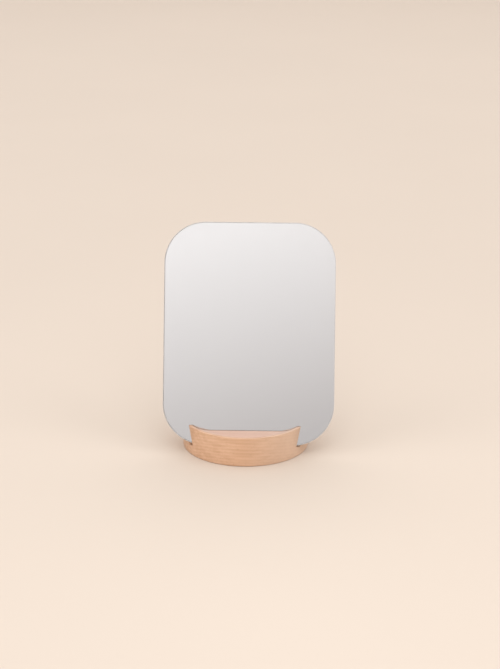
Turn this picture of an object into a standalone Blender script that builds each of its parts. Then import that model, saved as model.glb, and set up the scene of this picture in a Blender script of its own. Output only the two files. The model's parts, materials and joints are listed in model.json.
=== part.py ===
"""Round wooden stand with a slanted slot, and a frameless mirror pane that lifts out of it.

Metres, +Z up. The origin is the middle of the stand's underside, on the table, and the mirror faces -Y.
"""

import math

import bmesh
import bpy

MM = 0.001

# The turned block
BASE_RADIUS = 57.0 * MM
BASE_HEIGHT = 27.0 * MM             # from the table to the rim
RIM_WIDTH = 2.6 * MM                # flat band round the dish
RIM_EASE = 0.5 * MM                 # rounding of the rim's outer edge
FOOT_EASE = 0.5 * MM                # rounding of the block's lower edge
DISH_DEPTH = 4.2 * MM
DISH_FLOOR_RADIUS = 43.0 * MM       # the dish is flat this far out, then curves up to the rim

# The felt pad let into the underside
FELT_RADIUS = 50.5 * MM
FELT_THICKNESS = 1.2 * MM
FELT_PROUD = 0.2 * MM               # the pad holds the wood this far off the table

# The mirror pane, front to back
PANE_WIDTH = 154.0 * MM
PANE_HEIGHT = 200.0 * MM
PANE_CORNER = 37.0 * MM
GLASS_THICKNESS = 4.0 * MM
GLASS_ARRIS = 0.8 * MM              # ground edge of the glass
SILVER_THICKNESS = 0.15 * MM
FILM_THICKNESS = 0.35 * MM
BOND_GAP = 0.1 * MM                 # between glued layers

# How the pane stands in the slot
PANE_LEAN = math.radians(19.0)      # the top leans back
PANE_SHIFT = 3.0 * MM               # the pane stands this far to the right of the stand's middle
SEAT_HEIGHT = 10.4 * MM             # from the table to the pane's lower front edge
SLOT_FRONT = 27.0 * MM              # the slot's front wall meets the rim's level this far ahead of the middle
SLOT_CLEARANCE = 0.4 * MM           # in front of the pane and behind it
SLOT_OVERCUT = 20.0 * MM            # how far the saw cut runs past the block
CUSHION_THICKNESS = 0.5 * MM
CUSHION_SETBACK = 0.5 * MM          # the cushion stops this far inside the block's wall
TOUCH_GAP = 0.3 * MM                # between pieces that rest on each other

# Fineness of the round shapes
TURN_STEPS = 96
COVE_STEPS = 8
EASE_STEPS = 3
CORNER_STEPS = 18
WELD_DISTANCE = 0.00001

PANE_THICKNESS = GLASS_THICKNESS + SILVER_THICKNESS + FILM_THICKNESS + 2 * BOND_GAP
SLOT_WIDTH = PANE_THICKNESS + 2 * SLOT_CLEARANCE
CUSHION_TOP = -TOUCH_GAP            # along the slot, from the pane's lower edge, as is the next
SLOT_FLOOR = CUSHION_TOP - CUSHION_THICKNESS - BOND_GAP


def clear_scene():
    for old in list(bpy.data.objects):
        bpy.data.objects.remove(old, do_unlink=True)


def new_collection(name):
    collection = bpy.data.collections.new(name)
    bpy.context.scene.collection.children.link(collection)
    return collection


def move_to(obj, collection):
    for holder in list(obj.users_collection):
        holder.objects.unlink(obj)
    collection.objects.link(obj)


def material(name, colour, roughness, metallic=0.0):
    made = bpy.data.materials.new(name)
    made.use_nodes = True
    shader = made.node_tree.nodes["Principled BSDF"]
    shader.inputs["Base Color"].default_value = (*colour, 1.0)
    shader.inputs["Roughness"].default_value = roughness
    shader.inputs["Metallic"].default_value = metallic
    return made


def finish_piece(obj, name, finish, collection, smooth_angle=None):
    """Name the piece, give it its material and put it in its collection."""
    obj.name = name
    obj.data.name = name
    obj.data.materials.clear()
    obj.data.materials.append(finish)
    move_to(obj, collection)
    if smooth_angle is not None:
        obj.data.shade_smooth()
        obj.data.set_sharp_from_angle(angle=math.radians(smooth_angle))


def arc(centre, radius, start_deg, end_deg, steps):
    """Points along a circle's arc, both ends included."""
    points = []
    for step in range(steps + 1):
        angle = math.radians(start_deg + (end_deg - start_deg) * step / steps)
        points.append((centre[0] + radius * math.cos(angle), centre[1] + radius * math.sin(angle)))
    return points


def block_profile():
    """The block's half section as (radius, height), from the dish's middle round the outside to the underside."""
    dish_floor = BASE_HEIGHT - DISH_DEPTH
    rim_inner = BASE_RADIUS - RIM_WIDTH
    cove_run = rim_inner - DISH_FLOOR_RADIUS
    cove_radius = (cove_run ** 2 + DISH_DEPTH ** 2) / (2 * DISH_DEPTH)
    cove_turn = math.degrees(math.asin(cove_run / cove_radius))
    recess_radius = FELT_RADIUS + TOUCH_GAP
    recess_top = FELT_THICKNESS + TOUCH_GAP
    points = [(0.0, dish_floor)]
    points += arc((DISH_FLOOR_RADIUS, dish_floor + cove_radius), cove_radius, -90, -90 + cove_turn, COVE_STEPS)
    points += arc((BASE_RADIUS - RIM_EASE, BASE_HEIGHT - RIM_EASE), RIM_EASE, 90, 0, EASE_STEPS)
    points += arc((BASE_RADIUS - FOOT_EASE, FELT_PROUD + FOOT_EASE), FOOT_EASE, 0, -90, EASE_STEPS)
    points += [(recess_radius, FELT_PROUD), (recess_radius, recess_top), (0.0, recess_top)]
    return points


def turned_block(finish, collection):
    """The stand's block, turned from its profile with a Screw modifier."""
    profile = bmesh.new()
    verts = [profile.verts.new((radius, 0.0, height)) for radius, height in block_profile()]
    for start, end in zip(verts, verts[1:]):
        profile.edges.new((start, end))
    mesh = bpy.data.meshes.new("base_block")
    profile.to_mesh(mesh)
    profile.free()
    block = bpy.data.objects.new("base_block", mesh)
    collection.objects.link(block)
    turn = block.modifiers.new("turn", "SCREW")
    turn.axis = "Z"
    turn.angle = math.radians(360.0)
    turn.steps = TURN_STEPS
    turn.render_steps = TURN_STEPS
    turn.use_merge_vertices = True
    turn.merge_threshold = WELD_DISTANCE
    turn.use_smooth_shade = True
    mesh.materials.append(finish)
    return block


def box(name, size, centre):
    """A box of this size about this centre, its scale applied."""
    bpy.ops.mesh.primitive_cube_add(size=1.0, location=(0.0, 0.0, 0.0))
    made = bpy.context.active_object
    made.name = name
    for vert in made.data.vertices:
        vert.co = [vert.co[axis] * size[axis] for axis in range(3)]
    made.location = centre
    return made


def slot_cutter(seat, collection):
    """The saw cut's shape, in the leaning frame of the pane's seat."""
    length = 2 * (BASE_RADIUS + SLOT_OVERCUT)
    top = BASE_HEIGHT
    cutter = box(
        "slot_cutter",
        (length, SLOT_WIDTH, top - SLOT_FLOOR),
        (0.0, SLOT_WIDTH / 2 - SLOT_CLEARANCE, (top + SLOT_FLOOR) / 2),
    )
    cutter.parent = seat
    cutter.hide_render = True
    cutter.display_type = "WIRE"
    move_to(cutter, collection)
    return cutter


def cut(piece, cutter):
    saw = piece.modifiers.new("slot", "BOOLEAN")
    saw.operation = "DIFFERENCE"
    saw.solver = "EXACT"
    saw.object = cutter


def underside_felt(finish, collection):
    """The round felt pad that the stand rests on."""
    bpy.ops.mesh.primitive_cylinder_add(
        vertices=TURN_STEPS,
        radius=FELT_RADIUS,
        depth=FELT_THICKNESS,
        location=(0.0, 0.0, FELT_THICKNESS / 2),
    )
    finish_piece(bpy.context.active_object, "base_felt", finish, collection, smooth_angle=40)


def cushion_strip(seat, finish, collection):
    """The felt strip glued to the slot's floor, cut just short of the slot's open ends."""
    front_edge = seat.location.y - SLOT_CLEARANCE
    half_length = math.sqrt(BASE_RADIUS ** 2 - front_edge ** 2) - CUSHION_SETBACK
    strip = box(
        "slot_cushion",
        (2 * half_length, SLOT_WIDTH - 2 * TOUCH_GAP, CUSHION_THICKNESS),
        (0.0, SLOT_WIDTH / 2 - SLOT_CLEARANCE, CUSHION_TOP - CUSHION_THICKNESS / 2),
    )
    strip.parent = seat
    finish_piece(strip, "slot_cushion", finish, collection)


def rounded_rectangle(width, height, radius):
    """Outline of a rounded rectangle that stands on the origin, anticlockwise."""
    across = width / 2 - radius
    low = radius
    high = height - radius
    outline = []
    for corner, centre in enumerate(((across, high), (-across, high), (-across, low), (across, low))):
        outline += arc(centre, radius, 90 * corner, 90 * corner + 90, CORNER_STEPS)
    return outline


def flat_plate(outline, thickness):
    """A closed plate of this outline: a filled 2D curve, extruded and welded into a mesh."""
    curve = bpy.data.curves.new("plate", "CURVE")
    curve.dimensions = "2D"
    curve.fill_mode = "BOTH"
    curve.extrude = thickness / 2
    spline = curve.splines.new("POLY")
    spline.points.add(len(outline) - 1)
    for point, (x, y) in zip(spline.points, outline):
        point.co = (x, y, 0.0, 1.0)
    spline.use_cyclic_u = True
    guide = bpy.data.objects.new("plate", curve)
    bpy.context.scene.collection.objects.link(guide)
    evaluated = guide.evaluated_get(bpy.context.evaluated_depsgraph_get())
    mesh = bpy.data.meshes.new_from_object(evaluated)
    welded = bmesh.new()
    welded.from_mesh(mesh)
    bmesh.ops.remove_doubles(welded, verts=welded.verts, dist=WELD_DISTANCE)
    welded.to_mesh(mesh)
    welded.free()
    bpy.data.objects.remove(guide, do_unlink=True)
    return mesh


def pane_layer(name, seat, thickness, front, inset, finish, collection):
    """One layer of the pane. front is how far its front face lies behind the pane's front face."""
    outline = rounded_rectangle(PANE_WIDTH - 2 * inset, PANE_HEIGHT - 2 * inset, PANE_CORNER - inset)
    layer = bpy.data.objects.new(name, flat_plate(outline, thickness))
    collection.objects.link(layer)
    layer.parent = seat
    layer.location = (PANE_SHIFT, front + thickness / 2, inset)
    layer.rotation_euler = (math.radians(90.0), 0.0, 0.0)
    finish_piece(layer, name, finish, collection, smooth_angle=30)
    return layer


def grind_edge(layer, width):
    arris = layer.modifiers.new("arris", "BEVEL")
    arris.width = width
    arris.segments = 2
    arris.limit_method = "ANGLE"
    arris.angle_limit = math.radians(60.0)


def pane_seat(collection):
    """Empty at the pane's lower front edge, leaning back with the pane: +Z runs up the slot, +Y into the pane."""
    seat = bpy.data.objects.new("pane_seat", None)
    collection.objects.link(seat)
    rise = BASE_HEIGHT - SEAT_HEIGHT
    front = -SLOT_FRONT + SLOT_CLEARANCE / math.cos(PANE_LEAN)
    seat.location = (0.0, front - rise * math.tan(PANE_LEAN), SEAT_HEIGHT)
    seat.rotation_euler = (-PANE_LEAN, 0.0, 0.0)
    return seat


def main():
    clear_scene()
    parts = new_collection("slot_stand_mirror")
    guides = new_collection("guides")
    beech = material("beech", (0.66, 0.42, 0.26), 0.5)
    felt = material("felt", (0.44, 0.32, 0.215), 0.95)
    glass = material("glass", (0.88, 0.90, 0.89), 0.03)
    silver = material("silver", (0.93, 0.93, 0.94), 0.04, metallic=1.0)
    film = material("film", (0.52, 0.52, 0.51), 0.55)

    seat = pane_seat(guides)
    block = turned_block(beech, parts)
    cut(block, slot_cutter(seat, guides))
    underside_felt(felt, parts)
    cushion_strip(seat, felt, parts)

    pane = pane_layer("mirror_glass", seat, GLASS_THICKNESS, 0.0, 0.0, glass, parts)
    grind_edge(pane, GLASS_ARRIS)
    silver_front = GLASS_THICKNESS + BOND_GAP
    pane_layer("silver_coating", seat, SILVER_THICKNESS, silver_front, GLASS_ARRIS, silver, parts)
    film_front = silver_front + SILVER_THICKNESS + BOND_GAP
    pane_layer("backing_film", seat, FILM_THICKNESS, film_front, GLASS_ARRIS, film, parts)


main()
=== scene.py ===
"""Looks of a frameless mirror pane standing in the slanted slot of a round beech stand. Metres, +Z up."""

import json
import math

import bmesh
import bpy
from bpy.props import FloatProperty, FloatVectorProperty, IntProperty, PointerProperty
from mathutils import Matrix, Vector, noise


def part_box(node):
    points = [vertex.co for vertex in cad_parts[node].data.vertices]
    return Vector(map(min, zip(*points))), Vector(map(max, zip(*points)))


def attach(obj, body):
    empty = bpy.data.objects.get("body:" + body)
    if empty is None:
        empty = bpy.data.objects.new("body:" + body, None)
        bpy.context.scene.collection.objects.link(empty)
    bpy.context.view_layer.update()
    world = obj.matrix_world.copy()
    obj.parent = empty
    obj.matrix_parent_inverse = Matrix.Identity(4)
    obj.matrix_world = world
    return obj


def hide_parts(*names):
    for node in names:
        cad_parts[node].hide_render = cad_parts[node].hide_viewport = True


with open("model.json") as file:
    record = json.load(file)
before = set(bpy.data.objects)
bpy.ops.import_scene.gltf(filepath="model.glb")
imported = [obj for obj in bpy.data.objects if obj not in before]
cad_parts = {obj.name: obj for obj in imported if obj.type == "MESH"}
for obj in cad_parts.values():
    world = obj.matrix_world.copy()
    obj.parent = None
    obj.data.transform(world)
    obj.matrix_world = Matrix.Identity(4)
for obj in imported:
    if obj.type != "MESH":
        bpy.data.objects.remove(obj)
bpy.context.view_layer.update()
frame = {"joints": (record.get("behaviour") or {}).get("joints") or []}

bl_info = {
    "name": "Slot Stand Mirror",
    "version": (1, 0, 0),
    "blender": (4, 5, 0),
    "location": "3D View > Sidebar > Mirror",
    "description": "Builds a frameless mirror pane and the turned beech stand that it leans in",
    "category": "Object",
}

MM = 0.001
MOST_SIDES = 12     # a face with more corners than this is a large flat one
SHORTEST_EDGE = 0.35 * MM     # shorter ones along the slot's mouth are closed up before it is eased
FLAT_SHADING_MARGIN = 0.8 * MM     # the dish floor's shading stays flat up to here inside its edge
ON_THE_WALL = 0.9999     # how squarely a face of the slot's walls looks across the slot
AIM_HEIGHT = 80.0 * MM     # the camera looks at this height over the stand's middle, shifted as follows
AIM_RIGHT = 3.7 * MM
AIM_UP = 22.9 * MM
CAMERA_ROLL_DEG = 0.12

# Taken from the frame
LIFT = next(joint for joint in frame["joints"] if joint["name"] == "pane_lift")
UP_THE_PANE = Vector(LIFT["axis"]).normalized()
LEAN = math.atan2(UP_THE_PANE.y, UP_THE_PANE.z)
BLOCK_LOW, BLOCK_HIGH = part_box("base_block")
FELT_LOW, FELT_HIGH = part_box("base_felt")
GLASS_LOW, GLASS_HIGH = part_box("mirror_glass")
BLOCK_RADIUS = BLOCK_HIGH.x
PANE_WIDTH = GLASS_HIGH.x - GLASS_LOW.x
PANE_MIDDLE = (GLASS_HIGH.x + GLASS_LOW.x) / 2

# The rest of the stand's and the pane's own sizes, which the boxes don't give
SLOT_FRONT = 27.0 * MM
SLOT_CLEARANCE = 0.4 * MM
SEAT_HEIGHT = 10.4 * MM
TOUCH_GAP = 0.3 * MM
CUSHION_THICKNESS = 0.5 * MM
CUSHION_SETBACK = 0.5 * MM
BOND_GAP = 0.1 * MM
GLASS_THICKNESS = 4.0 * MM
SILVER_THICKNESS = 0.15 * MM
FILM_THICKNESS = 0.35 * MM
PANE_HEIGHT = 200.0 * MM
PANE_THICKNESS = GLASS_THICKNESS + SILVER_THICKNESS + FILM_THICKNESS + 2 * BOND_GAP
SLOT_WIDTH = PANE_THICKNESS + 2 * SLOT_CLEARANCE
SLOT_FLOOR = -(TOUCH_GAP + CUSHION_THICKNESS + BOND_GAP)

SEAT_Y = -SLOT_FRONT + SLOT_CLEARANCE / math.cos(LEAN) - (BLOCK_HIGH.z - SEAT_HEIGHT) * math.tan(LEAN)
SEAT = Matrix.Translation((0.0, SEAT_Y, SEAT_HEIGHT)) @ Matrix.Rotation(-LEAN, 4, "X")


# ---------------------------------------------------------------- settings

class StandSettings(bpy.types.PropertyGroup):
    rim_width: FloatProperty(
        name="Rim width", description="Flat band between the dish and the outer wall",
        default=2.6 * MM, min=0.5 * MM, unit="LENGTH")
    rim_ease: FloatProperty(
        name="Rim easing", description="Rounding of the rim's outer edge",
        default=0.5 * MM, min=0.1 * MM, unit="LENGTH")
    foot_ease: FloatProperty(
        name="Foot easing", description="Rounding of the block's lower edge",
        default=0.5 * MM, min=0.1 * MM, unit="LENGTH")
    dish_depth: FloatProperty(
        name="Dish depth", description="How far the dish is turned below the rim",
        default=4.2 * MM, min=1.0 * MM, unit="LENGTH")
    dish_floor_radius: FloatProperty(
        name="Dish floor radius", description="How far out the dish is flat",
        default=43.0 * MM, min=10.0 * MM, unit="LENGTH")
    slot_ease: FloatProperty(
        name="Slot easing", description="Sanded edge along the slot's mouth",
        default=0.2 * MM, min=0.05 * MM, unit="LENGTH")
    turn_steps: IntProperty(
        name="Turning steps", description="Facets round the block", default=240, min=48, max=512)


class WoodSettings(bpy.types.PropertyGroup):
    pale: FloatVectorProperty(
        name="Pale wood", description="Early wood between the rings",
        default=(0.76, 0.497, 0.334), subtype="COLOR", size=3, min=0.0, max=1.0)
    warm: FloatVectorProperty(
        name="Warm wood", description="Late wood and the darker streaks",
        default=(0.625, 0.374, 0.228), subtype="COLOR", size=3, min=0.0, max=1.0)
    fleck: FloatVectorProperty(
        name="Fleck", description="The short dark rays of beech",
        default=(0.36, 0.185, 0.10), subtype="COLOR", size=3, min=0.0, max=1.0)
    # Painted light: a paler, greyer tone laid on the block's right side for how the light falls there.
    right_side_light_tone: FloatVectorProperty(
        name="Greyer wood", description="The cooler tone that the board drifts to on its right",
        default=(0.67, 0.495, 0.378), subtype="COLOR", size=3, min=0.0, max=1.0)
    # Partly painted sheen: this paler tone of the dish and rim stands both for the sanded wood and for light
    # from above on them.
    sanded_and_sheen: FloatVectorProperty(
        name="Sanded wood", description="The pale, pinkish tone of the finely sanded dish and rim",
        default=(0.80, 0.555, 0.475), subtype="COLOR", size=3, min=0.0, max=1.0)
    ring_spacing: FloatProperty(
        name="Ring spacing", description="Distance between year rings",
        default=2.9 * MM, min=0.5 * MM, unit="LENGTH")
    roughness: FloatProperty(
        name="Roughness", description="How matt the oiled wood is", default=0.42, min=0.0, max=1.0)


class PaneSettings(bpy.types.PropertyGroup):
    corner_radius: FloatProperty(
        name="Corner radius", description="Radius of the pane's four corners",
        default=37.0 * MM, min=1.0 * MM, unit="LENGTH")
    arris: FloatProperty(
        name="Ground edge", description="Width of the satin-ground arris along the glass's edges",
        default=0.35 * MM, min=0.2 * MM, unit="LENGTH")
    silver_inset: FloatProperty(
        name="Silver inset", description="How far inside the glass's outline the silver stops",
        default=0.25 * MM, min=0.1 * MM, unit="LENGTH")
    corner_steps: IntProperty(
        name="Corner steps", description="Facets in each corner", default=32, min=8, max=96)
    ground_edge: FloatVectorProperty(
        name="Ground glass", description="Colour of the glass where its edge is ground satin",
        default=(0.80, 0.785, 0.765), subtype="COLOR", size=3, min=0.0, max=1.0)
    silver: FloatVectorProperty(
        name="Silver", description="Colour of the reflecting layer",
        default=(0.935, 0.910, 0.920), subtype="COLOR", size=3, min=0.0, max=1.0)
    backing: FloatVectorProperty(
        name="Backing", description="Colour of the paint on the pane's back",
        default=(0.52, 0.52, 0.51), subtype="COLOR", size=3, min=0.0, max=1.0)


class FeltSettings(bpy.types.PropertyGroup):
    colour: FloatVectorProperty(
        name="Felt", description="Colour of the pressed wool",
        default=(0.44, 0.32, 0.215), subtype="COLOR", size=3, min=0.0, max=1.0)
    fuzz: FloatProperty(
        name="Fuzz", description="How far the felt's surface wanders",
        default=0.06 * MM, min=0.0, unit="LENGTH")
    swell_gap: FloatProperty(
        name="Swell gap", description="What the pressed strip leaves free under the pane and at the walls",
        default=0.1 * MM, min=0.05 * MM, unit="LENGTH")


class StageSettings(bpy.types.PropertyGroup):
    floor_colour: FloatVectorProperty(
        name="Floor", description="Colour of the pale floor and its upturned edge",
        default=(0.670, 0.581, 0.500), subtype="COLOR", size=3, min=0.0, max=1.0)
    camera_turn: FloatProperty(
        name="Camera turn", description="How far the camera stands to the right of straight ahead",
        default=math.radians(1.78), subtype="ANGLE")
    camera_pitch: FloatProperty(
        name="Camera pitch", description="How far the camera looks down",
        default=math.radians(19.28), subtype="ANGLE")
    camera_distance: FloatProperty(
        name="Camera distance", description="From the camera to the point it looks at",
        default=1.6221, min=0.2, unit="LENGTH")
    focal_length: FloatProperty(
        name="Focal length", description="In millimetres, on a 36 mm sensor", default=96.86, min=10.0)


class MirrorSettings(bpy.types.PropertyGroup):
    stand: PointerProperty(type=StandSettings)
    wood: PointerProperty(type=WoodSettings)
    pane: PointerProperty(type=PaneSettings)
    felt: PointerProperty(type=FeltSettings)
    stage: PointerProperty(type=StageSettings)


# ---------------------------------------------------------------- node helpers

def add_node(tree, kind, settings=None, **inputs):
    """A node with its settings, its inputs given by name as plain values or as the sockets that feed them."""
    made = tree.nodes.new(kind)
    for name, value in (settings or {}).items():
        setattr(made, name, value)
    for name, value in inputs.items():
        socket = made.inputs[name.replace("_", " ")]
        if isinstance(value, bpy.types.NodeSocket):
            tree.links.new(value, socket)
        else:
            socket.default_value = value
    return made


def calc(tree, operation, *values, clamp=False):
    """A Math node's result. Each value is a number or a socket."""
    made = tree.nodes.new("ShaderNodeMath")
    made.operation = operation
    made.use_clamp = clamp
    for socket, value in zip(made.inputs, values):
        if isinstance(value, bpy.types.NodeSocket):
            tree.links.new(value, socket)
        else:
            socket.default_value = value
    return made.outputs[0]


def hypotenuse(tree, one, other):
    """How far two lengths at right angles reach together."""
    squares = calc(tree, "ADD", calc(tree, "POWER", one, 2.0), calc(tree, "POWER", other, 2.0))
    return calc(tree, "SQRT", squares)


def between(tree, value, low, high, out_low=0.0, out_high=1.0):
    """value carried smoothly from low..high to out_low..out_high."""
    settings = {"interpolation_type": "SMOOTHSTEP", "clamp": True}
    made = add_node(tree, "ShaderNodeMapRange", settings, Value=value, From_Min=low, From_Max=high,
                    To_Min=out_low, To_Max=out_high)
    return made.outputs["Result"]


def mixed(tree, share, first, second):
    """A colour mix of two colours, which are tuples or sockets."""
    made = tree.nodes.new("ShaderNodeMix")
    made.data_type = "RGBA"
    for index, value in ((0, share), (6, first), (7, second)):
        if isinstance(value, bpy.types.NodeSocket):
            tree.links.new(value, made.inputs[index])
        elif index == 0:
            made.inputs[index].default_value = value
        else:
            made.inputs[index].default_value = (*value, 1.0)
    return made.outputs[2]


def stretched_noise(tree, place, frequency, detail=2.0, roughness=0.5, offset=0.0):
    """Noise from coordinates multiplied by frequency, which may differ along each axis."""
    moved = add_node(tree, "ShaderNodeVectorMath", {"operation": "MULTIPLY"})
    tree.links.new(place, moved.inputs[0])
    moved.inputs[1].default_value = frequency
    shifted = add_node(tree, "ShaderNodeVectorMath", {"operation": "ADD"})
    tree.links.new(moved.outputs[0], shifted.inputs[0])
    shifted.inputs[1].default_value = (offset, offset, offset)
    made = add_node(tree, "ShaderNodeTexNoise", Vector=shifted.outputs[0], Scale=1.0, Detail=detail,
                    Roughness=roughness)
    return made.outputs["Fac"]


def new_material(name):
    """A material, its node tree, its Principled shader and the piece's own coordinates in metres."""
    made = bpy.data.materials.new(name)
    made.use_nodes = True
    tree = made.node_tree
    shader = tree.nodes["Principled BSDF"]
    place = add_node(tree, "ShaderNodeTexCoord").outputs["Object"]
    return made, tree, shader, place


def bumped(tree, shader, height, distance, strength=1.0):
    made = add_node(tree, "ShaderNodeBump", Strength=strength, Distance=distance, Height=height)
    tree.links.new(made.outputs["Normal"], shader.inputs["Normal"])


# ---------------------------------------------------------------- mesh helpers

def arc(centre, radius, start_deg, end_deg, steps):
    """Points along a circle's arc, both ends included."""
    points = []
    for step in range(steps + 1):
        angle = math.radians(start_deg + (end_deg - start_deg) * step / steps)
        points.append((centre[0] + radius * math.cos(angle), centre[1] + radius * math.sin(angle)))
    return points


def new_piece(name, mesh, finishes, body, slot, *cad_nodes, place=None):
    """A shown piece that rides on a CAD body, takes the finishes given and stands for CAD nodes. The slot
    argument is not used.
    """
    piece = bpy.data.objects.new(name, mesh)
    bpy.context.scene.collection.objects.link(piece)
    if place is not None:
        piece.matrix_world = place
    for finish in finishes:
        mesh.materials.append(finish)
    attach(piece, body)
    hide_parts(*cad_nodes)
    return piece


def smooth(mesh, angle_deg):
    """Smooth shading, but for edges sharper than the angle and for large flat faces."""
    mesh.shade_smooth()
    mesh.set_sharp_from_angle(angle=math.radians(angle_deg))
    for face in mesh.polygons:
        if len(face.vertices) > MOST_SIDES:
            face.use_smooth = False


def turned(profile, steps):
    """A bmesh turned from a profile of (radius, height) that starts on the axis. A closed one ends there."""
    made = bmesh.new()
    rings = []
    for radius, height in profile:
        if radius < 0.01 * MM:
            rings.append([made.verts.new((0.0, 0.0, height))])
            continue
        ring = []
        for step in range(steps):
            angle = 2 * math.pi * step / steps
            ring.append(made.verts.new((radius * math.cos(angle), radius * math.sin(angle), height)))
        rings.append(ring)
    for upper, lower in zip(rings, rings[1:]):
        for step in range(steps):
            after = (step + 1) % steps
            if len(upper) == 1:
                made.faces.new((upper[0], lower[step], lower[after]))
            elif len(lower) == 1:
                made.faces.new((upper[step], lower[0], upper[after]))
            else:
                made.faces.new((upper[step], lower[step], lower[after], upper[after]))
    bmesh.ops.recalc_face_normals(made, faces=made.faces)
    return made


def mesh_from(made, name):
    mesh = bpy.data.meshes.new(name)
    made.to_mesh(mesh)
    made.free()
    return mesh


def rounded_rectangle(width, height, radius, steps, inset):
    """Outline of a rounded rectangle that stands on z 0, drawn in by inset, anticlockwise from the front."""
    across = width / 2 - radius
    outline = []
    for corner, centre in enumerate(((across, height - radius), (-across, height - radius),
                                     (-across, radius), (across, radius))):
        outline += arc(centre, radius - inset, 90 * corner, 90 * corner + 90, steps)
    return outline


def plate(name, pane, section):
    """A plate in the pane's own frame. section lists (inset, depth) from the front rim to the back one."""
    made = bmesh.new()
    loops = []
    for inset, depth in section:
        outline = rounded_rectangle(PANE_WIDTH, PANE_HEIGHT, pane.corner_radius, pane.corner_steps, inset)
        loops.append([made.verts.new((PANE_MIDDLE + x, depth, z)) for x, z in outline])
    for front, back in zip(loops, loops[1:]):
        count = len(front)
        for step in range(count):
            after = (step + 1) % count
            made.faces.new((front[step], back[step], back[after], front[after]))
    made.faces.new(loops[0])
    made.faces.new(list(reversed(loops[-1])))
    bmesh.ops.recalc_face_normals(made, faces=made.faces)
    return mesh_from(made, name)


def put_in_order(made):
    """Numbers a bmesh's vertices and faces by their places, because some tools leave that to chance."""
    places = ((made.verts, lambda vert: vert.co), (made.faces, lambda face: face.calc_center_median()))
    for members, place in places:
        ranked = sorted(members, key=lambda member: tuple(place(member)))
        rank = {member: index for index, member in enumerate(ranked)}
        members.sort(key=lambda member: rank[member])


def roughened(made, reach, pitch):
    """Moves a bmesh's vertices along their normals by noise, for felt."""
    made.normal_update()
    for vert in made.verts:
        vert.co += vert.normal * reach * noise.noise(vert.co / pitch)


# ---------------------------------------------------------------- finishes

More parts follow.
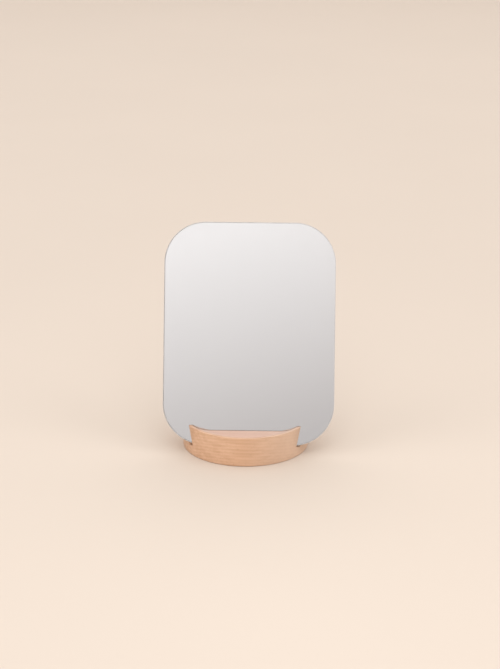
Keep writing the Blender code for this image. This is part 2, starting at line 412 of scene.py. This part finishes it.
def beech_finish(wood):
    """Oiled beech: the grain runs along X, and the year rings lie round a pith far below the block."""
    made, tree, shader, place = new_material("beech")
    split = add_node(tree, "ShaderNodeSeparateXYZ", Vector=place).outputs
    facing = add_node(tree, "ShaderNodeTexCoord").outputs["Normal"]
    turned_to = add_node(tree, "ShaderNodeSeparateXYZ", Vector=facing).outputs
    wander = stretched_noise(tree, place, (5.0, 14.0, 14.0), detail=2.0)
    sway = stretched_noise(tree, place, (24.0, 70.0, 70.0), detail=2.0, offset=7.3)
    pith_y, pith_z = -140.0 * MM, -400.0 * MM
    off_y = calc(tree, "SUBTRACT", split["Y"], pith_y)
    off_z = calc(tree, "SUBTRACT", split["Z"], pith_z)
    radius = calc(tree, "MULTIPLY_ADD", wander, 7.0 * MM, hypotenuse(tree, off_y, off_z))
    radius = calc(tree, "MULTIPLY_ADD", sway, 1.1 * MM, radius)
    phase = calc(tree, "FRACT", calc(tree, "DIVIDE", radius, wood.ring_spacing))
    late = calc(tree, "MULTIPLY", between(tree, phase, 0.15, 0.85), between(tree, phase, 0.86, 1.0, 1.0, 0.0))
    fibres = stretched_noise(tree, place, (40.0, 1300.0, 1300.0), detail=3.0, roughness=0.6, offset=2.1)
    streaks = stretched_noise(tree, place, (13.0, 300.0, 300.0), detail=2.0, offset=4.7)
    clouds = stretched_noise(tree, place, (15.0, 34.0, 34.0), detail=2.0, offset=11.0)
    specks = stretched_noise(tree, place, (380.0, 1700.0, 1700.0), detail=1.0, offset=5.9)
    flecks = between(tree, specks, 0.665, 0.735)

    depth = calc(tree, "MULTIPLY", late, 0.34)
    depth = calc(tree, "ADD", depth, between(tree, streaks, 0.35, 0.66, 0.0, 0.44))
    depth = calc(tree, "ADD", depth, between(tree, fibres, 0.30, 0.72, -0.06, 0.14))
    depth = calc(tree, "ADD", depth, between(tree, clouds, 0.35, 0.65, -0.06, 0.22), clamp=True)
    colour = mixed(tree, depth, tuple(wood.pale), tuple(wood.warm))
    colour = mixed(tree, calc(tree, "MULTIPLY", flecks, 0.40), colour, tuple(wood.fleck))
    # Painted light: the right side turns lighter and greyer, for how the light falls there.
    right_side_light = between(tree, calc(tree, "MULTIPLY_ADD", clouds, 0.02, split["X"]), 0.0, 0.062, 0.0, 0.70)
    colour = mixed(tree, right_side_light, colour, tuple(wood.right_side_light_tone))

    # End grain soaks up more oil and is darker, and painted shade makes it darker still on the left; the dish
    # and rim stay paler, partly from the sanded wood and partly from a painted sheen of the light from above.
    soak_and_left_shade = between(tree, split["X"], 0.0, 0.6 * BLOCK_RADIUS, 0.30, 0.06)
    at_end = between(tree, calc(tree, "ABSOLUTE", turned_to["X"]), 0.76, 0.98)
    end_grain_and_shade = calc(tree, "MULTIPLY", at_end, soak_and_left_shade)
    colour = mixed(tree, end_grain_and_shade, colour, tuple(0.72 * c for c in wood.warm))
    # Painted sheen: the upward faces of the dish and rim get the paler sanded tone, partly for the light from
    # above.
    upward = between(tree, turned_to["Z"], 0.25, 0.95)
    above = between(tree, split["Z"], BLOCK_HIGH.z - 9.0 * MM, BLOCK_HIGH.z - 6.0 * MM)
    reach = hypotenuse(tree, split["X"], split["Y"])
    within = between(tree, reach, BLOCK_RADIUS - 3.4 * MM, BLOCK_RADIUS - 2.2 * MM, 1.0, 0.30)
    sanded_and_sheen = calc(tree, "MULTIPLY", calc(tree, "MULTIPLY", upward, above), within)
    share = calc(tree, "MULTIPLY", sanded_and_sheen, between(tree, clouds, 0.3, 0.7, 0.48, 0.62))
    colour = mixed(tree, share, colour, tuple(wood.sanded_and_sheen))
    # Painted shade: the wood is darkened along the foot, where the block meets the floor.
    foot = between(tree, split["Z"], BLOCK_LOW.z + 0.2 * MM, BLOCK_LOW.z + 1.6 * MM, 0.08, 0.0)
    colour = mixed(tree, foot, colour, tuple(0.6 * c for c in wood.warm))
    tree.links.new(colour, shader.inputs["Base Color"])

    gloss = calc(tree, "MULTIPLY_ADD", fibres, 0.16, wood.roughness - 0.08)
    gloss = calc(tree, "MULTIPLY_ADD", flecks, 0.12, gloss)
    tree.links.new(gloss, shader.inputs["Roughness"])
    shader.inputs["IOR"].default_value = 1.5

    lathe = calc(tree, "SINE", calc(tree, "MULTIPLY", reach, 2 * math.pi / (0.55 * MM)))
    height = calc(tree, "MULTIPLY_ADD", lathe, 0.05, fibres)
    height = calc(tree, "MULTIPLY_ADD", flecks, -0.45, height)
    height = calc(tree, "MULTIPLY_ADD", late, 0.20, height)
    bumped(tree, shader, height, 0.05 * MM, 0.6)
    return made


def glass_finish():
    """Clear float glass, with the faintest wipe marks."""
    made, tree, shader, place = new_material("glass")
    wiped = stretched_noise(tree, place, (30.0, 30.0, 9.0), detail=3.0, roughness=0.6)
    shader.inputs["Base Color"].default_value = (0.985, 0.995, 0.99, 1.0)
    shader.inputs["Transmission Weight"].default_value = 1.0
    shader.inputs["IOR"].default_value = 1.52
    tree.links.new(between(tree, wiped, 0.35, 0.75, 0.0, 0.012), shader.inputs["Roughness"])
    return made


def ground_edge_finish(pane):
    """The glass's ground edge: satin and whitish, with the wheel's fine lines along it."""
    made, tree, shader, place = new_material("ground_edge")
    lines = stretched_noise(tree, place, (60.0, 5200.0, 60.0), detail=2.0)
    grit = stretched_noise(tree, place, (3100.0, 3100.0, 3100.0), detail=1.0, offset=3.0)
    pale = tuple(pane.ground_edge)
    colour = mixed(tree, between(tree, grit, 0.3, 0.7), tuple(0.93 * c for c in pale), pale)
    tree.links.new(colour, shader.inputs["Base Color"])
    shader.inputs["Transmission Weight"].default_value = 0.4
    shader.inputs["IOR"].default_value = 1.52
    tree.links.new(between(tree, lines, 0.3, 0.7, 0.45, 0.60), shader.inputs["Roughness"])
    bumped(tree, shader, calc(tree, "ADD", lines, grit), 0.02 * MM, 0.5)
    return made


def silver_finish(pane):
    """Mirror silver, with a hair of tarnish creeping in from its rim."""
    made, tree, shader, place = new_material("silver")
    split = add_node(tree, "ShaderNodeSeparateXYZ", Vector=place).outputs
    centre_x = calc(tree, "ABSOLUTE", calc(tree, "SUBTRACT", split["X"], PANE_MIDDLE))
    centre_z = calc(tree, "ABSOLUTE", calc(tree, "SUBTRACT", split["Z"], PANE_HEIGHT / 2))
    straight_x = PANE_WIDTH / 2 - pane.corner_radius
    straight_z = PANE_HEIGHT / 2 - pane.corner_radius
    past_x = calc(tree, "MAXIMUM", calc(tree, "SUBTRACT", centre_x, straight_x), 0.0)
    past_z = calc(tree, "MAXIMUM", calc(tree, "SUBTRACT", centre_z, straight_z), 0.0)
    out = hypotenuse(tree, past_x, past_z)
    creep = stretched_noise(tree, place, (900.0, 900.0, 900.0), detail=2.0)
    rim = calc(tree, "MULTIPLY_ADD", creep, 0.5 * MM, out)
    edge = pane.corner_radius - pane.silver_inset
    tarnish = between(tree, rim, edge - 0.1 * MM, edge + 0.5 * MM, 0.0, 0.35)
    colour = mixed(tree, tarnish, tuple(pane.silver), (0.42, 0.40, 0.38))
    tree.links.new(colour, shader.inputs["Base Color"])
    shader.inputs["Metallic"].default_value = 1.0
    tree.links.new(calc(tree, "MULTIPLY_ADD", tarnish, 0.3, 0.012), shader.inputs["Roughness"])
    return made


def backing_finish(pane):
    """Grey protective paint: rolled on, with scuffs where the pane is pushed into the slot."""
    made, tree, shader, place = new_material("backing")
    up = add_node(tree, "ShaderNodeSeparateXYZ", Vector=place).outputs["Z"]
    mottle = stretched_noise(tree, place, (38.0, 38.0, 38.0), detail=4.0, roughness=0.6)
    roller = stretched_noise(tree, place, (520.0, 520.0, 330.0), detail=2.0, offset=3.0)
    scratch = stretched_noise(tree, place, (900.0, 900.0, 26.0), detail=2.0, offset=8.0)
    low = between(tree, up, 6.0 * MM, 22.0 * MM, 1.0, 0.0)
    worn = calc(tree, "MULTIPLY_ADD", low, 0.55, 0.05)
    scuff = calc(tree, "MULTIPLY", between(tree, scratch, 0.60, 0.70), worn)
    shade = between(tree, mottle, 0.3, 0.7)
    dark = tuple(0.975 * c for c in pane.backing)
    pale = tuple(1.02 * c for c in pane.backing)
    colour = mixed(tree, shade, dark, pale)
    colour = mixed(tree, scuff, colour, tuple(min(1.0, 1.6 * c) for c in pane.backing))
    tree.links.new(colour, shader.inputs["Base Color"])
    tree.links.new(calc(tree, "MULTIPLY_ADD", mottle, 0.06, 0.48), shader.inputs["Roughness"])
    height = calc(tree, "MULTIPLY_ADD", scuff, -0.6, roller)
    bumped(tree, shader, height, 0.03 * MM, 0.5)
    return made


def felt_finish(felt):
    """Pressed wool felt: tangled fibres and a soft sheen."""
    made, tree, shader, place = new_material("felt")
    tangle = stretched_noise(tree, place, (2200.0, 2200.0, 2200.0), detail=4.0, roughness=0.7)
    clumps = stretched_noise(tree, place, (260.0, 260.0, 260.0), detail=3.0, offset=5.0)
    dark = tuple(0.6 * c for c in felt.colour)
    pale = tuple(1.35 * c for c in felt.colour)
    colour = mixed(tree, between(tree, tangle, 0.3, 0.7), dark, pale)
    colour = mixed(tree, between(tree, clumps, 0.4, 0.7, 0.0, 0.35), colour, pale)
    tree.links.new(colour, shader.inputs["Base Color"])
    shader.inputs["Roughness"].default_value = 0.95
    shader.inputs["Sheen Weight"].default_value = 0.4
    shader.inputs["Sheen Roughness"].default_value = 0.5
    bumped(tree, shader, calc(tree, "ADD", tangle, clumps), 0.15 * MM, 0.8)
    return made


# ---------------------------------------------------------------- the stand

def block_profile(stand):
    """The block's half section as (radius, height), from the dish round the outside to the underside."""
    rim = BLOCK_HIGH.z
    foot = BLOCK_LOW.z
    dish_floor = rim - stand.dish_depth
    rim_inner = BLOCK_RADIUS - stand.rim_width
    cove_run = rim_inner - stand.dish_floor_radius
    cove_radius = (cove_run ** 2 + stand.dish_depth ** 2) / (2 * stand.dish_depth)
    cove_turn = math.degrees(math.asin(cove_run / cove_radius))
    recess_radius = FELT_HIGH.x + TOUCH_GAP
    recess_top = FELT_HIGH.z + TOUCH_GAP
    points = [(0.0, dish_floor), (stand.dish_floor_radius / 2, dish_floor)]
    points += [(stand.dish_floor_radius - FLAT_SHADING_MARGIN, dish_floor)]
    points += arc((stand.dish_floor_radius, dish_floor + cove_radius), cove_radius, -90, -90 + cove_turn, 20)
    points += arc((BLOCK_RADIUS - stand.rim_ease, rim - stand.rim_ease), stand.rim_ease, 90, 0, 5)
    points += arc((BLOCK_RADIUS - stand.foot_ease, foot + stand.foot_ease), stand.foot_ease, 0, -90, 5)
    points += [(recess_radius, foot), (recess_radius, recess_top), (0.0, recess_top)]
    return points


def sawn(block_mesh):
    """The block's mesh with the slanted slot cut across it."""
    cutter_mesh = bmesh.new()
    reach = BLOCK_RADIUS + 20.0 * MM
    top = BLOCK_HIGH.z
    bmesh.ops.create_cube(cutter_mesh, size=1.0)
    for vert in cutter_mesh.verts:
        vert.co.x *= 2 * reach
        vert.co.y = vert.co.y * SLOT_WIDTH + SLOT_WIDTH / 2 - SLOT_CLEARANCE
        vert.co.z = vert.co.z * (top - SLOT_FLOOR) + (top + SLOT_FLOOR) / 2
    cutter = bpy.data.objects.new("saw", mesh_from(cutter_mesh, "saw"))
    cutter.matrix_world = SEAT
    block = bpy.data.objects.new("block", block_mesh)
    for guide in (cutter, block):
        bpy.context.scene.collection.objects.link(guide)
    saw = block.modifiers.new("saw", "BOOLEAN")
    saw.operation = "DIFFERENCE"
    saw.solver = "EXACT"
    saw.object = cutter
    evaluated = block.evaluated_get(bpy.context.evaluated_depsgraph_get())
    cut = bpy.data.meshes.new_from_object(evaluated)
    for guide in (cutter, block):
        bpy.data.objects.remove(guide, do_unlink=True)
    return cut


def slot_mouth(made):
    """The edges where the slot's walls meet the dish, the rim and the outer wall, above the slot's floor."""
    across = SEAT.to_3x3() @ Vector((0.0, 1.0, 0.0))
    seat_from_world = SEAT.inverted()
    walls = {face for face in made.faces if abs(face.normal.dot(across)) > ON_THE_WALL}
    mouth = []
    for edge in made.edges:
        if len(edge.link_faces) != 2 or sum(face in walls for face in edge.link_faces) != 1:
            continue
        if max((seat_from_world @ vert.co).z for vert in edge.verts) > SLOT_FLOOR + SHORTEST_EDGE:
            mouth.append(edge)
    return mouth


def eased(block_mesh, ease):
    """The sawn block's mesh with the slot's mouth sanded, along the dish, the rim and the outer wall."""
    made = bmesh.new()
    made.from_mesh(block_mesh)
    corners = {vert for edge in slot_mouth(made) for vert in edge.verts}
    ordered = [vert for vert in made.verts if vert in corners]
    bmesh.ops.remove_doubles(made, verts=ordered, dist=SHORTEST_EDGE)
    bmesh.ops.bevel(
        made, geom=slot_mouth(made), offset=ease, offset_type="OFFSET", segments=2, profile=0.5,
        affect="EDGES", clamp_overlap=False)
    return mesh_from(made, "block")


class SLOTMIRROR_OT_block(bpy.types.Operator):
    """Turn the beech block, saw its slot and ease the slot's edges"""
    bl_idname = "slot_mirror.block"
    bl_label = "Turned Block"

    def execute(self, context):
        settings = context.scene.slot_mirror
        stand = settings.stand
        blank = mesh_from(turned(block_profile(stand), stand.turn_steps), "blank")
        mesh = eased(sawn(blank), stand.slot_ease)
        smooth(mesh, 20)
        new_piece("turned_block", mesh, [beech_finish(settings.wood)], "stand", "beech", "base_block")
        return {"FINISHED"}


class SLOTMIRROR_OT_felts(bpy.types.Operator):
    """Lay the felt pad into the underside and the felt strip into the slot"""
    bl_idname = "slot_mirror.felts"
    bl_label = "Felt Pad and Strip"

    def execute(self, context):
        felt = context.scene.slot_mirror.felt
        finish = felt_finish(felt)
        self.pad(felt, finish)
        self.strip(felt, finish)
        return {"FINISHED"}

    def pad(self, felt, finish):
        radius = FELT_HIGH.x
        thickness = FELT_HIGH.z - FELT_LOW.z
        ease = 0.35 * MM
        rings = 14
        top = [(radius * step / rings, thickness) for step in range(rings)]
        rim = arc((radius - ease, thickness - ease), ease, 90, 0, 4)
        rim += arc((radius - ease, ease), ease, 0, -90, 4)
        bottom = [(r, 0.0) for r, _ in reversed(top)]
        made = turned(top + rim + bottom, 120)
        roughened(made, felt.fuzz, 2.0 * MM)
        for vert in made.verts:
            vert.co.z = max(vert.co.z, 0.0)
        mesh = mesh_from(made, "felt_pad")
        smooth(mesh, 60)
        new_piece("felt_pad", mesh, [finish], "stand", "felt", "base_felt")

    def strip(self, felt, finish):
        """The strip is pressed between the slot's floor and the pane, and swells to the slot's walls."""
        front_edge = SEAT_Y - SLOT_CLEARANCE
        half_length = math.sqrt(BLOCK_RADIUS ** 2 - front_edge ** 2) - CUSHION_SETBACK
        width = SLOT_WIDTH - 2 * felt.swell_gap
        top = -felt.swell_gap
        bottom = SLOT_FLOOR + BOND_GAP
        made = bmesh.new()
        bmesh.ops.create_cube(made, size=1.0)
        for vert in made.verts:
            vert.co.x *= 2 * half_length
            vert.co.y = vert.co.y * width + SLOT_WIDTH / 2 - SLOT_CLEARANCE
            vert.co.z = vert.co.z * (top - bottom) + (top + bottom) / 2
        bmesh.ops.bevel(made, geom=made.edges[:], offset=0.12 * MM, segments=2, affect="EDGES", profile=0.5)
        long_edges = [e for e in made.edges if abs(e.verts[0].co.x - e.verts[1].co.x) > half_length]
        bmesh.ops.subdivide_edges(made, edges=long_edges, cuts=60)
        put_in_order(made)
        roughened(made, 0.5 * felt.fuzz, 1.2 * MM)
        mesh = mesh_from(made, "felt_strip")
        smooth(mesh, 60)
        new_piece("felt_strip", mesh, [finish], "stand", "felt", "slot_cushion", place=SEAT)


# ---------------------------------------------------------------- the pane

class SLOTMIRROR_OT_glass(bpy.types.Operator):
    """Cut the glass pane and grind its edge"""
    bl_idname = "slot_mirror.glass"
    bl_label = "Glass Pane"

    def execute(self, context):
        pane = context.scene.slot_mirror.pane
        arris = pane.arris
        soft = 0.06 * MM
        drop = 0.8 * arris
        back = GLASS_THICKNESS
        back_arris = pane.silver_inset
        section = [
            (arris + soft, 0.0), (arris - soft, 0.4 * soft), (soft, drop - soft), (0.0, drop + soft),
            (0.0, back - back_arris - soft), (0.3 * soft, back - back_arris), (back_arris, back),
        ]
        mesh = plate("glass_pane", pane, section)
        smooth(mesh, 25)
        for face in mesh.polygons:
            face.material_index = 0 if len(face.vertices) > MOST_SIDES else 1
        finishes = [glass_finish(), ground_edge_finish(pane)]
        new_piece("glass_pane", mesh, finishes, "pane", "glass", "mirror_glass", place=SEAT)
        return {"FINISHED"}


class SLOTMIRROR_OT_silver(bpy.types.Operator):
    """Lay the silver on the back of the glass"""
    bl_idname = "slot_mirror.silver"
    bl_label = "Silver"

    def execute(self, context):
        pane = context.scene.slot_mirror.pane
        front = GLASS_THICKNESS + BOND_GAP
        section = [(pane.silver_inset, front), (pane.silver_inset, front + SILVER_THICKNESS)]
        mesh = plate("silver_layer", pane, section)
        smooth(mesh, 30)
        new_piece("silver_layer", mesh, [silver_finish(pane)], "pane", "silver", "silver_coating", place=SEAT)
        return {"FINISHED"}


class SLOTMIRROR_OT_backing(bpy.types.Operator):
    """Paint the back of the silver"""
    bl_idname = "slot_mirror.backing"
    bl_label = "Backing"

    def execute(self, context):
        pane = context.scene.slot_mirror.pane
        front = GLASS_THICKNESS + SILVER_THICKNESS + 2 * BOND_GAP
        back = front + FILM_THICKNESS
        ease = 0.15 * MM
        rim = pane.silver_inset + 0.1 * MM
        section = [
            (rim, front), (rim, back - ease), (rim + 0.3 * ease, back - 0.3 * ease), (rim + ease, back),
        ]
        mesh = plate("backing_paint", pane, section)
        smooth(mesh, 50)
        new_piece("backing_paint", mesh, [backing_finish(pane)], "pane", "film", "backing_film", place=SEAT)
        return {"FINISHED"}


# ---------------------------------------------------------------- the stage

def floor_finish(stage):
    """Plain pale paper, very slightly uneven."""
    made, tree, shader, place = new_material("floor_paper")
    uneven = stretched_noise(tree, place, (3.0, 3.0, 3.0), detail=2.0)
    colour = tuple(stage.floor_colour)
    shade = mixed(tree, between(tree, uneven, 0.3, 0.7), tuple(0.99 * c for c in colour), colour)
    tree.links.new(shade, shader.inputs["Base Color"])
    shader.inputs["Roughness"].default_value = 0.9
    shader.inputs["Specular IOR Level"].default_value = 0.1
    return made


def floor_sweep(stage):
    """A round floor whose edge curves up all round, so that no view meets its end."""
    floor_radius = 3.4
    bend = 0.35
    wall_top = 0.88
    profile = [(0.0, 0.0), (0.5, 0.0), (1.5, 0.0)]
    profile += arc((floor_radius, bend), bend, -90, 0, 16)
    profile += [(floor_radius + bend, wall_top)]
    mesh = mesh_from(turned(profile, 96), "floor_sweep")
    mesh.shade_smooth()
    mesh.materials.append(floor_finish(stage))
    floor = bpy.data.objects.new("floor_sweep", mesh)
    bpy.context.scene.collection.objects.link(floor)


def soft_sun(name, turn_deg, height_deg, spread_deg, strength):
    """A far, soft light. turn_deg is measured from straight ahead of the mirror, positive to its right."""
    lamp = bpy.data.lights.new(name, "SUN")
    lamp.angle = math.radians(spread_deg)
    lamp.energy = strength
    light = bpy.data.objects.new(name, lamp)
    turn = math.radians(turn_deg)
    height = math.radians(height_deg)
    level = math.cos(height)
    from_place = Vector((math.sin(turn) * level, -math.cos(turn) * level, math.sin(height)))
    light.rotation_euler = (-from_place).to_track_quat("-Z", "Y").to_euler()
    bpy.context.scene.collection.objects.link(light)


def soft_lamp(name, place, size, power):
    """A round soft box aimed at the middle of the mirror, in which it doesn't show."""
    lamp = bpy.data.lights.new(name, "AREA")
    lamp.shape = "DISK"
    lamp.size = size
    lamp.energy = power
    light = bpy.data.objects.new(name, lamp)
    light.location = place
    aim = Vector((0.0, 0.0, 0.1)) - Vector(place)
    light.rotation_euler = aim.to_track_quat("-Z", "Y").to_euler()
    light.visible_glossy = False
    light.visible_transmission = False
    bpy.context.scene.collection.objects.link(light)


def sky():
    """A soft dome, bright overhead and behind. It falls off low in front, and a touch more to the right."""
    world = bpy.data.worlds.new("dome")
    bpy.context.scene.world = world
    world.use_nodes = True
    tree = world.node_tree
    ground = tree.nodes["Background"]
    towards = add_node(tree, "ShaderNodeTexCoord").outputs["Generated"]
    lean = add_node(tree, "ShaderNodeVectorMath", {"operation": "DOT_PRODUCT"})
    tree.links.new(towards, lean.inputs[0])
    lean.inputs[1].default_value = Vector((-0.32, 0.35, 1.0)).normalized()
    lifted = calc(tree, "ADD", lean.outputs["Value"], 0.15)
    ramp = add_node(tree, "ShaderNodeValToRGB", Fac=lifted)
    stops = (
        (0.000, (0.350, 0.340, 0.335)), (0.099, (0.615, 0.585, 0.575)), (0.208, (0.980, 0.955, 0.945)),
        (0.280, (1.020, 0.995, 0.985)), (1.000, (1.050, 1.030, 1.020)),
    )
    points = ramp.color_ramp.elements
    points.remove(points[1])
    points[0].position = stops[0][0]
    points[0].color = (*stops[0][1], 1.0)
    for position, colour in stops[1:]:
        points.new(position).color = (*colour, 1.0)
    tree.links.new(ramp.outputs["Color"], ground.inputs["Color"])
    behind = add_node(tree, "ShaderNodeSeparateXYZ", Vector=towards).outputs["Y"]
    tree.links.new(between(tree, behind, 0.1, 0.9, 1.0, 1.6), ground.inputs["Strength"])


def camera(stage):
    turn = Matrix.Rotation(stage.camera_turn, 3, "Z")
    ahead = turn @ Vector((0.0, math.cos(stage.camera_pitch), -math.sin(stage.camera_pitch)))
    up = turn @ Vector((0.0, math.sin(stage.camera_pitch), math.cos(stage.camera_pitch)))
    right = turn @ Vector((1.0, 0.0, 0.0))
    aim = Vector((0.0, 0.0, AIM_HEIGHT)) + right * AIM_RIGHT + up * AIM_UP
    lens = bpy.data.cameras.new("camera")
    lens.sensor_width = 36.0
    lens.lens = stage.focal_length
    lens.clip_start = 0.01
    lens.clip_end = 20.0
    made = bpy.data.objects.new("camera", lens)
    roll = math.radians(CAMERA_ROLL_DEG)
    across = right * math.cos(roll) + up * math.sin(roll)
    above = up * math.cos(roll) - right * math.sin(roll)
    rotation = Matrix((across, above, -ahead)).transposed()
    made.matrix_world = Matrix.Translation(aim - ahead * stage.camera_distance) @ rotation.to_4x4()
    bpy.context.scene.collection.objects.link(made)
    bpy.context.scene.camera = made


class SLOTMIRROR_OT_stage(bpy.types.Operator):
    """Lay the floor, hang the lights and set the camera"""
    bl_idname = "slot_mirror.stage"
    bl_label = "Stage"

    def execute(self, context):
        stage = context.scene.slot_mirror.stage
        context.scene.view_settings.view_transform = "Standard"
        camera(stage)
        floor_sweep(stage)
        sky()
        soft_sun("left_light", -70.0, 42.0, 32.0, 0.27)
        soft_sun("right_light", 70.0, 42.0, 32.0, 0.37)
        soft_lamp("front_light", (0.05, -0.50, 0.62), 0.4, 1.0)
        return {"FINISHED"}


# ---------------------------------------------------------------- panel and running

class SLOTMIRROR_PT_panel(bpy.types.Panel):
    """Buttons and sizes in the 3D view's sidebar"""
    bl_label = "Slot Stand Mirror"
    bl_space_type = "VIEW_3D"
    bl_region_type = "UI"
    bl_category = "Mirror"

    def draw(self, context):
        settings = context.scene.slot_mirror
        for group in (settings.stand, settings.wood, settings.pane, settings.felt, settings.stage):
            box = self.layout.box()
            for name in group.__annotations__:
                box.prop(group, name)
        for operator in OPERATORS:
            self.layout.operator(operator.bl_idname)


OPERATORS = (
    SLOTMIRROR_OT_stage, SLOTMIRROR_OT_block, SLOTMIRROR_OT_felts, SLOTMIRROR_OT_glass, SLOTMIRROR_OT_silver,
    SLOTMIRROR_OT_backing,
)
GROUPS = (StandSettings, WoodSettings, PaneSettings, FeltSettings, StageSettings, MirrorSettings)


def register():
    for made in (*GROUPS, *OPERATORS, SLOTMIRROR_PT_panel):
        bpy.utils.register_class(made)
    bpy.types.Scene.slot_mirror = PointerProperty(type=MirrorSettings)


def unregister():
    del bpy.types.Scene.slot_mirror
    for made in reversed((*GROUPS, *OPERATORS, SLOTMIRROR_PT_panel)):
        bpy.utils.unregister_class(made)


def main():
    register()
    bpy.ops.slot_mirror.stage()
    bpy.ops.slot_mirror.block()
    bpy.ops.slot_mirror.felts()
    bpy.ops.slot_mirror.glass()
    bpy.ops.slot_mirror.silver()
    bpy.ops.slot_mirror.backing()


if __name__ == "__main__":
    main()
